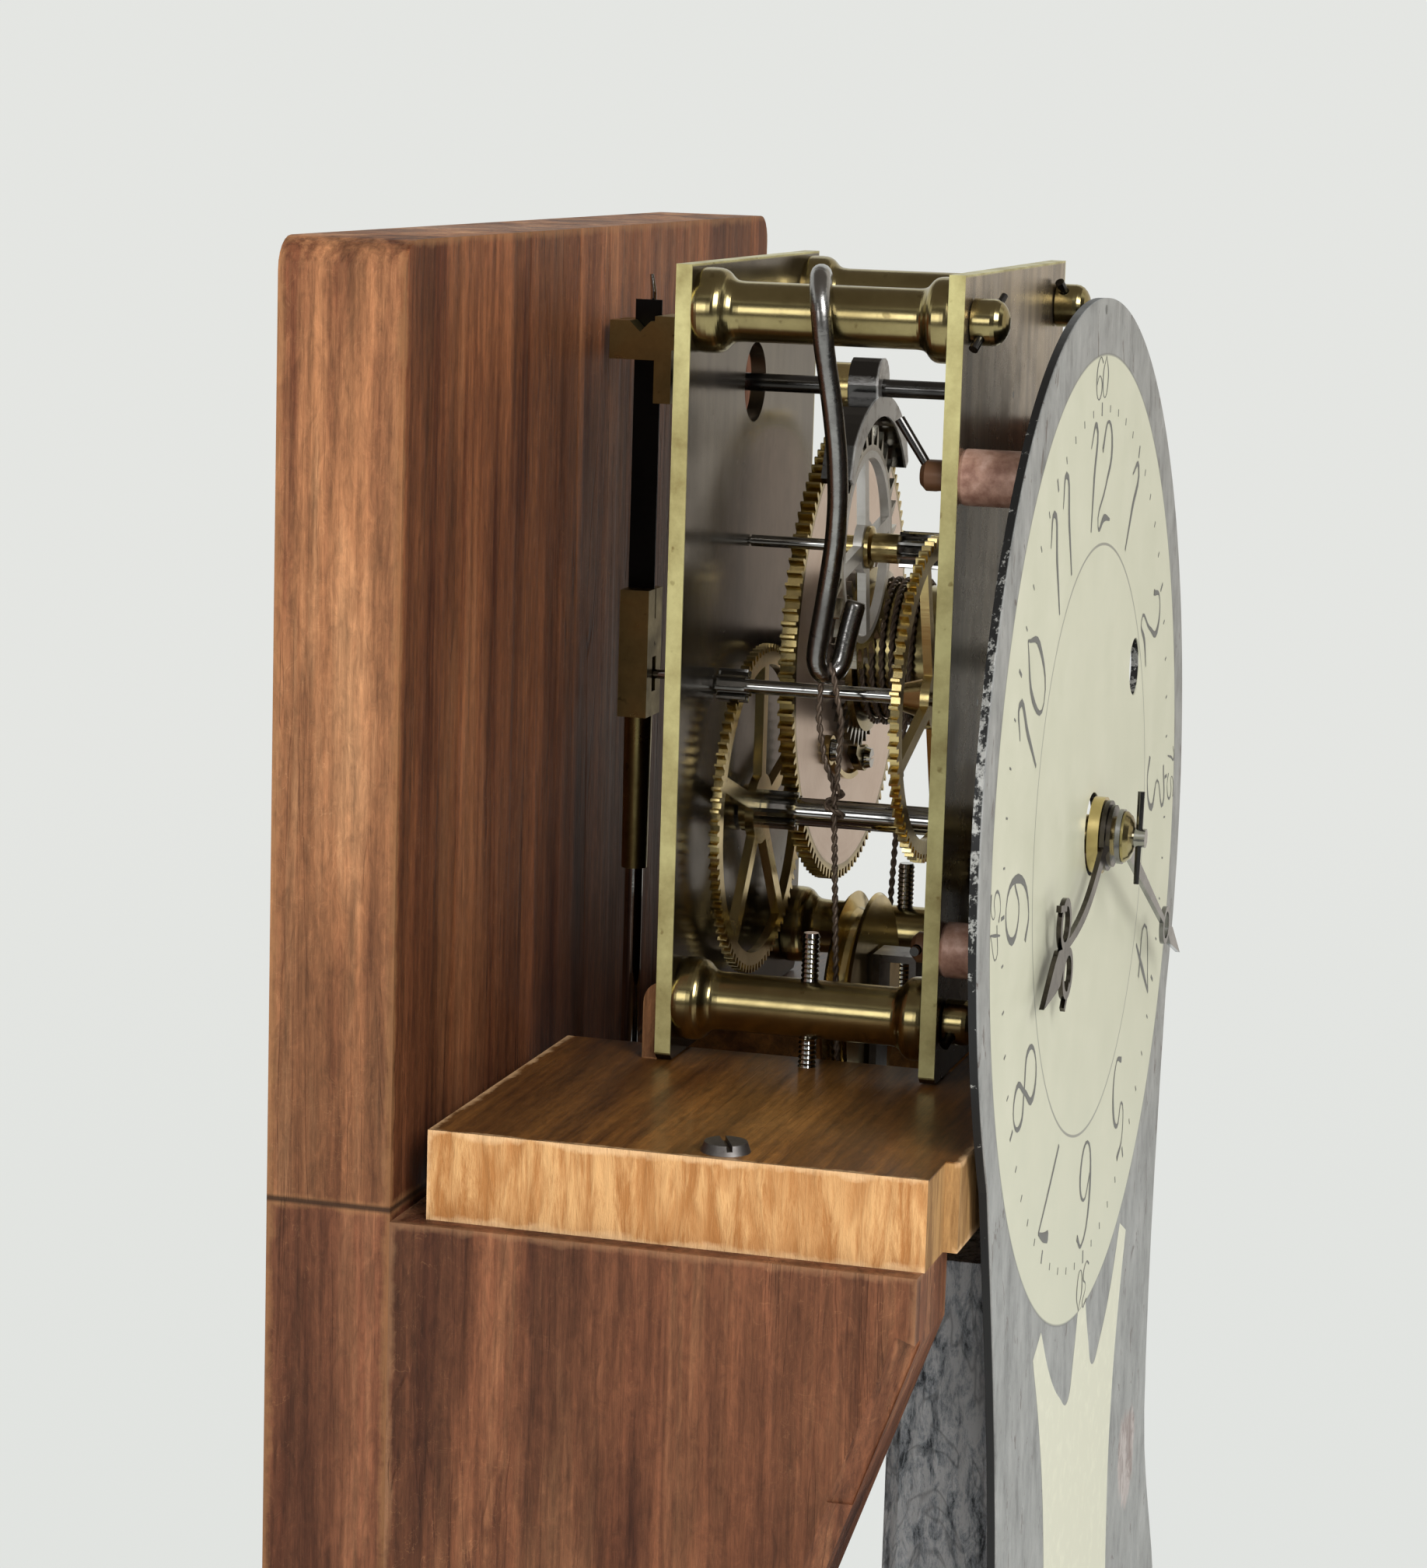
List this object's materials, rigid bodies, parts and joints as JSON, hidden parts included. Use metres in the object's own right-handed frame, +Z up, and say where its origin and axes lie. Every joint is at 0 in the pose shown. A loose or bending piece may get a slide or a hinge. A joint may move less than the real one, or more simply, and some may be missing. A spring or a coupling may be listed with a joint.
{
  "type": "shelf clock",
  "caption": "Uncased weight-driven shelf timepiece: kidney-shaped painted dial, brass plated movement and pendulum on a wooden bracket stand, one weight on a pulley.",
  "frame": {"origin": "centre of the underside of the base board, where the clock stands on its shelf", "axes": "+X right as the clock is seen from its front, +Y to the back, +Z up; the dial faces -Y"},
  "size_m": [0.22, 0.124, 0.4975],
  "materials": {
    "stand_wood": "dry, worn",
    "seat_wood": "varnished",
    "iron": "aged",
    "cast_iron": "rough cast",
    "plate_brass": "polished",
    "pillar_brass": "dulled",
    "wheel_brass": "polished",
    "pale_brass": "worn",
    "steel": "satin",
    "dark_steel": "dark",
    "blued_steel": "blued",
    "copper": "coppery",
    "painted_dial": "painted, worn",
    "line": "twisted"
  },
  "bodies": {
    "stand": {"base_board": "stand_wood", "backboard_lower": "stand_wood", "backboard_upper": "stand_wood", "bracket_left": "stand_wood", "bracket_right": "stand_wood", "stand_screws": "iron", "seat_board": "seat_wood", "packing_blocks": "seat_wood", "seat_screws": "iron", "back_plate": "plate_brass", "front_plate": "plate_brass", "pillars_top": "pillar_brass", "pillars_bottom": "pillar_brass", "pillar_pins": "dark_steel", "hold_down_bolts": "steel", "back_cock": "pillar_brass", "cock_screws": "steel", "suspension_pin": "steel", "dial_posts": "copper", "dial_post_pins": "dark_steel", "dial_plate": "painted_dial", "motion_stud": "steel", "line_hook": "dark_steel", "weight_line": "line"},
    "great": {"great_wheel": "wheel_brass", "click_spring": "wheel_brass", "click_screws": "steel"},
    "click": {"click": "pillar_brass"},
    "barrel": {"winding_arbor": "steel", "barrel": "pillar_brass", "ratchet_wheel": "steel"},
    "centre": {"centre_arbor": "steel", "centre_wheel": "wheel_brass", "centre_collet": "wheel_brass", "cannon_pinion": "steel", "minute_hand": "blued_steel", "hand_collet": "pillar_brass", "hand_pin": "dark_steel"},
    "third": {"third_arbor": "steel", "third_wheel": "wheel_brass", "third_collet": "wheel_brass"},
    "escape": {"escape_arbor": "steel", "escape_wheel": "pale_brass", "escape_collet": "wheel_brass"},
    "pallet": {"pallet_arbor": "dark_steel", "pallets": "steel", "pallet_collet": "wheel_brass", "crutch": "steel"},
    "motion": {"minute_wheel": "wheel_brass"},
    "hour": {"hour_wheel": "wheel_brass", "hour_hand": "blued_steel"},
    "pendulum": {"suspension_strip": "dark_steel", "pendulum_block": "pillar_brass", "pendulum_ferrule": "pillar_brass", "pendulum_rod": "steel"},
    "bob": {"pendulum_bob": "wheel_brass", "rating_nut": "wheel_brass"},
    "weight": {"pulley_stirrup": "iron", "weight": "cast_iron"},
    "pulley": {"pulley": "wheel_brass"}
  },
  "joints": [
    {"name": "third_turn", "type": "hinge", "parent": "stand", "child": "third", "pos_m": [-0.01852, -0.0039, 0.4236], "axis": [0, -1, 0], "continuous": true},
    {"name": "centre_turn", "type": "hinge", "parent": "stand", "child": "centre", "pos_m": [0, -0.0039, 0.4], "axis": [0, -1, 0], "continuous": true},
    {"name": "great_turn", "type": "hinge", "parent": "stand", "child": "great", "pos_m": [0.03636, -0.0039, 0.4237], "axis": [0, -1, 0], "continuous": true},
    {"name": "escape_turn", "type": "hinge", "parent": "stand", "child": "escape", "pos_m": [0, -0.0039, 0.4458], "axis": [0, -1, 0], "continuous": true},
    {"name": "motion_turn", "type": "hinge", "parent": "stand", "child": "motion", "pos_m": [-0.0096, -0.03, 0.3928], "axis": [0, -1, 0], "continuous": true},
    {"name": "hour_turn", "type": "hinge", "parent": "stand", "child": "hour", "pos_m": [0, -0.04, 0.4], "axis": [0, -1, 0], "continuous": true},
    {"name": "barrel_wind", "type": "hinge", "parent": "great", "child": "barrel", "pos_m": [0.03636, -0.0039, 0.4237], "axis": [0, -1, 0], "continuous": true},
    {"name": "click_lift", "type": "hinge", "parent": "great", "child": "click", "pos_m": [0.04144, 0.0055, 0.40332], "axis": [0, -1, 0], "range_deg": [0, 13], "stiffness_Nm_per_rad": 0.002, "springref_deg": -11.46},
    {"name": "pendulum_swing", "type": "hinge", "parent": "stand", "child": "pendulum", "pos_m": [0, 0.0351, 0.4765], "axis": [0, -1, 0], "range_deg": [-2.5, 2.5]},
    {"name": "pallet_rock", "type": "hinge", "parent": "stand", "child": "pallet", "pos_m": [0, -0.0039, 0.4725], "axis": [0, -1, 0], "range_deg": [-2.8, 2.8]},
    {"name": "bob_rating", "type": "slide", "parent": "pendulum", "child": "bob", "axis": [0, 0, 1], "range_m": [-0.004, 0.004]},
    {"name": "weight_fall", "type": "slide", "parent": "stand", "child": "weight", "axis": [0, 0, -1], "range_m": [0, 0.13], "deforming": ["weight_line"]},
    {"name": "pulley_spin", "type": "hinge", "parent": "weight", "child": "pulley", "pos_m": [-0.004, -0.0069, 0.3686], "axis": [0, -1, 0], "continuous": true}
  ],
  "couplings": [
    {"joint": "centre_turn", "follows": "third_turn", "ratio": -0.086957},
    {"joint": "great_turn", "follows": "third_turn", "ratio": 0.005997},
    {"joint": "escape_turn", "follows": "third_turn", "ratio": -9.75},
    {"joint": "motion_turn", "follows": "third_turn", "ratio": 0.028986},
    {"joint": "hour_turn", "follows": "third_turn", "ratio": -0.0072464},
    {"joint": "pallet_rock", "follows": "pendulum_swing", "ratio": 1.0791},
    {"joint": "pulley_spin", "follows": "weight_fall", "rad_per_m": -60.606}
  ]
}
